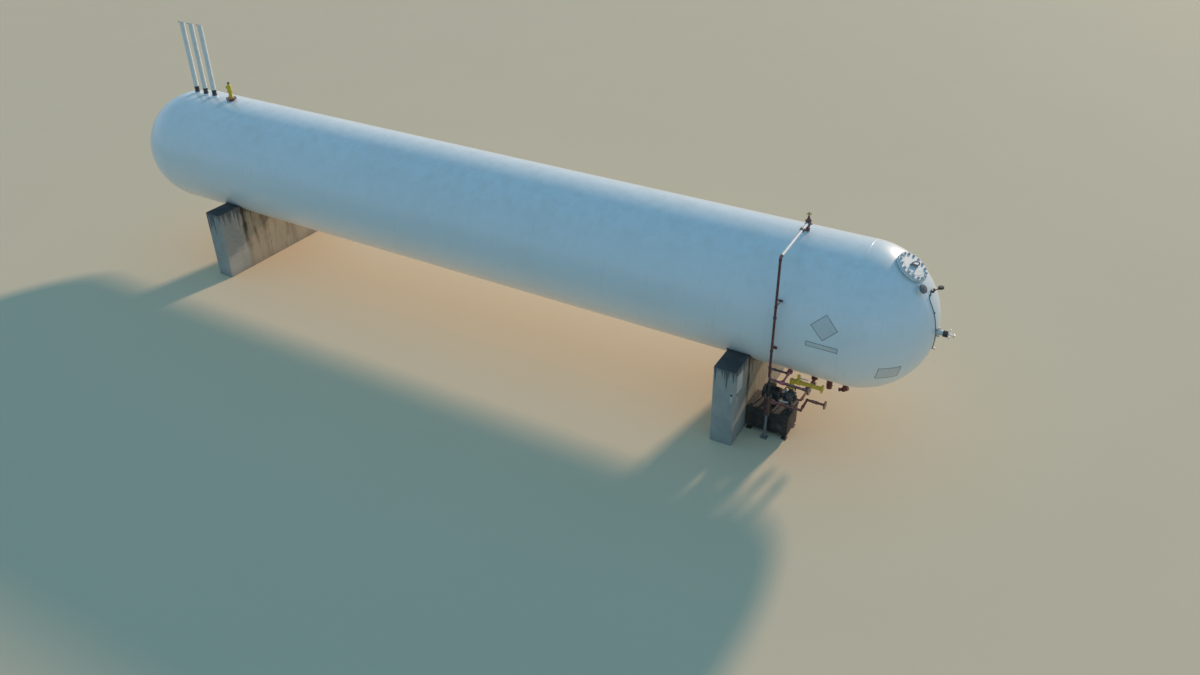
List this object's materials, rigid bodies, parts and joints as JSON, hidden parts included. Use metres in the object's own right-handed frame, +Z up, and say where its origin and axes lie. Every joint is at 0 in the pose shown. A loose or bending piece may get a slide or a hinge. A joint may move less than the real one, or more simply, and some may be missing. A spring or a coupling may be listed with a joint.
{
  "type": "horizontal pressure tank",
  "caption": "Horizontal steel pressure tank with round ends on concrete saddles, with manway, tall vent pipes, valves, gauges and pump piping",
  "frame": {"origin": "middle of the underside of the saddle nearest the manway head, on the floor", "axes": "X along the tank toward the manway head, Y across the tank away from the drop pipe side, Z up"},
  "size_m": [20.3818, 3.47, 5.758],
  "materials": {
    "tank_white": "gloss white paint with light dust",
    "fitting_white": "white paint, a little chalky",
    "concrete": "cast concrete with water streaks",
    "felt": "black felt",
    "black_metal": "black paint, semi gloss",
    "cap_grey": "dull grey metal",
    "red_oxide": "dark red paint",
    "maroon": "maroon paint, satin",
    "yellow": "yellow paint, worn",
    "wheel_yellow": "pale yellow paint",
    "pump_dark": "dark enamel on casting",
    "steel_grey": "grey galvanised look",
    "dial_metal": "bright metal",
    "plate": "blank plate"
  },
  "bodies": {
    "root": {"shell": "tank_white", "head_near": "tank_white", "head_far": "tank_white", "saddle_near": "concrete", "saddle_far": "concrete", "felt_strips": "felt", "manway_neck": "tank_white", "manway_cover": "fitting_white", "manway_handle": "cap_grey", "vent_nozzles": "fitting_white", "relief_valves": "black_metal", "vent_stacks": "fitting_white", "rain_caps": "cap_grey", "fill_flange": "red_oxide", "fill_valve": "yellow", "fill_cap": "black_metal", "vapour_nozzle": "fitting_white", "vapour_valve": "maroon", "vapour_wheel": "wheel_yellow", "vapour_coupling": "black_metal", "vapour_arm": "fitting_white", "drop_pipe": "maroon", "cross_pipe": "maroon", "head_nozzle": "fitting_white", "head_nozzle_cap": "steel_grey", "gauge_block": "black_metal", "pressure_gauge": "black_metal", "gauge_tube": "steel_grey", "tube_fitting": "cap_grey", "level_neck": "fitting_white", "level_ring": "black_metal", "level_dial": "dial_metal", "bottom_outlets": "red_oxide", "suction_pipe": "red_oxide", "pump_body": "pump_dark", "pump_motor": "pump_dark", "pump_base": "black_metal", "strainer_pot": "red_oxide", "return_pipe": "red_oxide", "pipe_post": "steel_grey", "yellow_pipe": "yellow", "yellow_valve": "yellow", "valve_levers": "fitting_white", "side_plates": "plate", "head_plate": "plate", "saddle_plate": "plate"}
  },
  "joints": []
}
